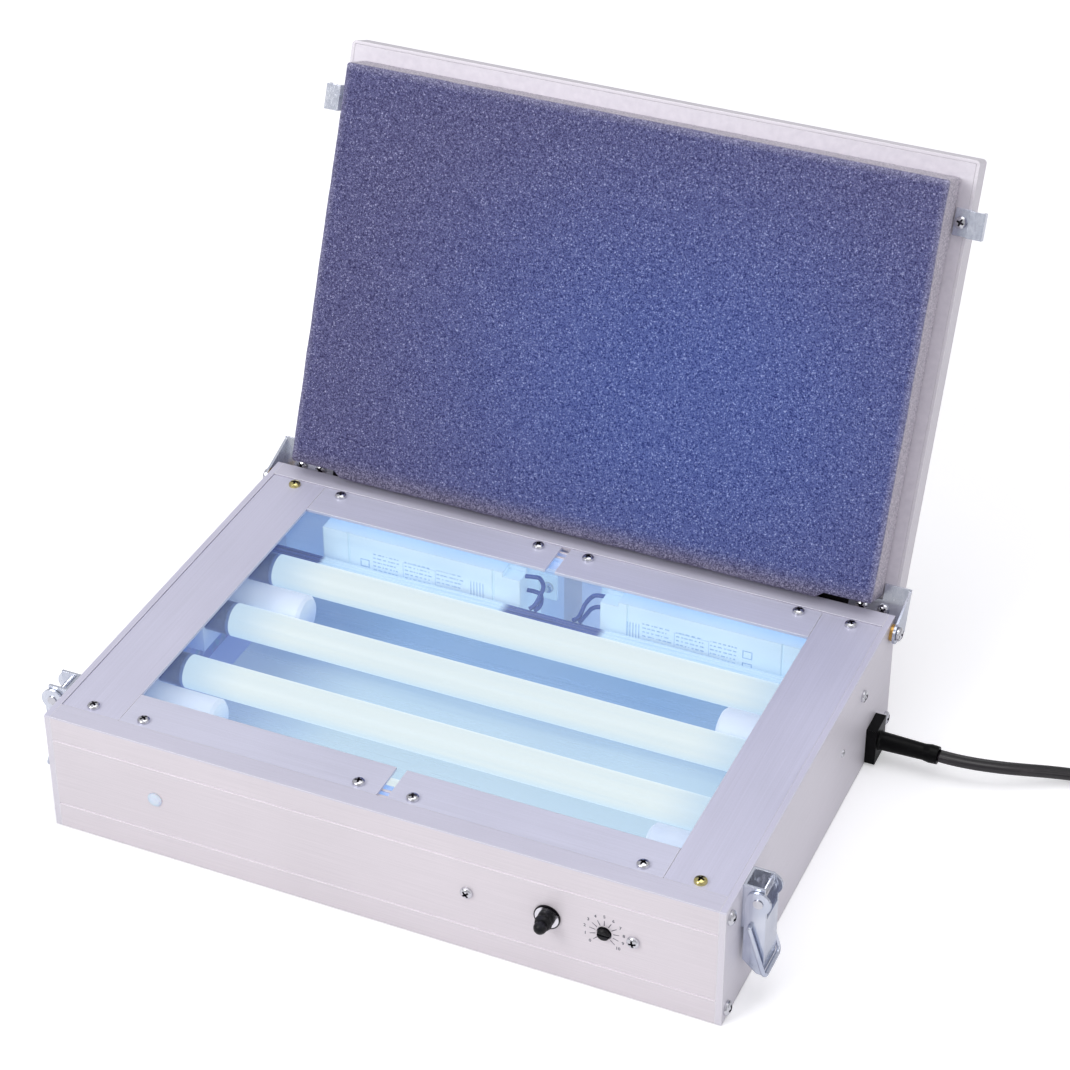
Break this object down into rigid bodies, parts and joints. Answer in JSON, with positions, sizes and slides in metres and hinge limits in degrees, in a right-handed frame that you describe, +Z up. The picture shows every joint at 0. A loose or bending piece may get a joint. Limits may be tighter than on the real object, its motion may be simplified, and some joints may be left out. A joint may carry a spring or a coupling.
{
  "type": "screen printing exposure unit",
  "caption": "Flat aluminium ultraviolet exposure box with a glass window over lamp tubes, a foam-lined hinged lid, side latches, a start switch and a timer.",
  "frame": {"origin": "middle of the case's footprint, on the surface that it stands on", "axes": "+X to the right seen from the front, +Y to the back where the lid is hinged, +Z up"},
  "size_m": [0.5649, 0.334, 0.252],
  "materials": {
    "case_aluminium": "matt natural anodised",
    "strip_aluminium": "brushed natural anodised",
    "base_sheet": "plain mill finish",
    "reflector_sheet": "polished",
    "clear_glass": "clear float glass",
    "lamp_glass": "phosphor-coated tube",
    "lamp_cap_metal": "matt",
    "bracket_steel": "zinc plated",
    "white_plastic": "moulded",
    "ballast_cover": "pale lacquer",
    "wire_insulation": "sheathed wire",
    "circuit_board": "lacquered",
    "potentiometer_case": "moulded",
    "black_plastic": "moulded",
    "black_rubber": "satin rubber",
    "nickel": "nickel plated",
    "lamp_lens": "milky lens",
    "screw_steel": "bright plated",
    "black_cord": "glossy flexible PVC",
    "bright_zinc": "bright zinc plated",
    "pivot_brass": "turned",
    "foam": "open-cell foam"
  },
  "bodies": {
    "case": {"front_panel": "case_aluminium", "rear_panel": "case_aluminium", "left_end_plate": "case_aluminium", "right_end_plate": "case_aluminium", "base_plate": "base_sheet", "reflector": "reflector_sheet", "glass_pane": "clear_glass", "top_strip_left": "strip_aluminium", "top_strip_right": "strip_aluminium", "top_strip_front_left": "strip_aluminium", "top_strip_front_right": "strip_aluminium", "top_strip_rear_left": "strip_aluminium", "top_strip_rear_right": "strip_aluminium", "lamp_tube_1": "lamp_glass", "lamp_tube_2": "lamp_glass", "lamp_tube_3": "lamp_glass", "lamp_tube_4": "lamp_glass", "lamp_end_caps": "lamp_cap_metal", "lamp_brackets": "bracket_steel", "lamp_holders": "white_plastic", "starters": "white_plastic", "starter_sockets": "white_plastic", "ballast_left": "ballast_cover", "ballast_right": "ballast_cover", "inner_wiring": "wire_insulation", "timer_board": "circuit_board", "timer_potentiometer": "potentiometer_case", "switch_body": "potentiometer_case", "switch_ring_nut": "nickel", "switch_boot": "black_rubber", "pilot_lamp": "lamp_lens", "strip_screws": "screw_steel", "end_plate_screws": "screw_steel", "control_screws": "screw_steel", "base_screws": "screw_steel", "ballast_screws": "screw_steel", "cord_gland": "black_rubber", "power_cord": "black_cord", "cord_coil": "black_cord", "mains_plug": "black_cord", "latch_base_left": "bright_zinc", "latch_base_right": "bright_zinc", "latch_rivets": "screw_steel", "hinge_screws": "screw_steel", "hinge_washers": "pivot_brass"},
    "lid": {"lid_panel": "case_aluminium", "lid_liner": "case_aluminium", "foam_pad": "foam", "hinge_bracket_left": "bright_zinc", "hinge_bracket_right": "bright_zinc", "catch_left": "bright_zinc", "catch_right": "bright_zinc", "lid_screws": "screw_steel"},
    "timer_spindle": {"timer_spindle": "black_plastic"},
    "switch_lever": {"switch_lever": "black_rubber"},
    "latch_lever_left": {"latch_lever_left": "bright_zinc"},
    "latch_lever_right": {"latch_lever_right": "bright_zinc"},
    "latch_bail_left": {"latch_bail_left": "bright_zinc"},
    "latch_bail_right": {"latch_bail_right": "bright_zinc"}
  },
  "joints": [
    {"name": "lid_hinge", "type": "hinge", "parent": "case", "child": "lid", "pos_m": [0, 0.105, 0.056], "axis": [1, 0, 0], "range_deg": [0, 112.5], "deforming": ["foam_pad"]},
    {"name": "timer_turn", "type": "hinge", "parent": "case", "child": "timer_spindle", "pos_m": [0.107, -0.11, 0.032], "axis": [0, 1, 0], "range_deg": [-135, 135]},
    {"name": "switch_throw", "type": "hinge", "parent": "case", "child": "switch_lever", "pos_m": [0.0814, -0.1116, 0.032], "axis": [-1, 0, 0], "range_deg": [0, 20], "stiffness_Nm_per_rad": 0.02},
    {"name": "latch_lever_left_turn", "type": "hinge", "parent": "case", "child": "latch_lever_left", "pos_m": [-0.1673, -0.0845, 0.055], "axis": [0, 1, 0], "range_deg": [0, 150]},
    {"name": "latch_bail_left_swing", "type": "hinge", "parent": "latch_lever_left", "child": "latch_bail_left", "pos_m": [-0.1645, -0.0845, 0.042], "axis": [0, 1, 0], "range_deg": [0, 169]},
    {"name": "latch_lever_right_turn", "type": "hinge", "parent": "case", "child": "latch_lever_right", "pos_m": [0.1673, -0.0845, 0.055], "axis": [0, -1, 0], "range_deg": [0, 150]},
    {"name": "latch_bail_right_swing", "type": "hinge", "parent": "latch_lever_right", "child": "latch_bail_right", "pos_m": [0.1645, -0.0845, 0.042], "axis": [0, -1, 0], "range_deg": [0, 169]}
  ]
}
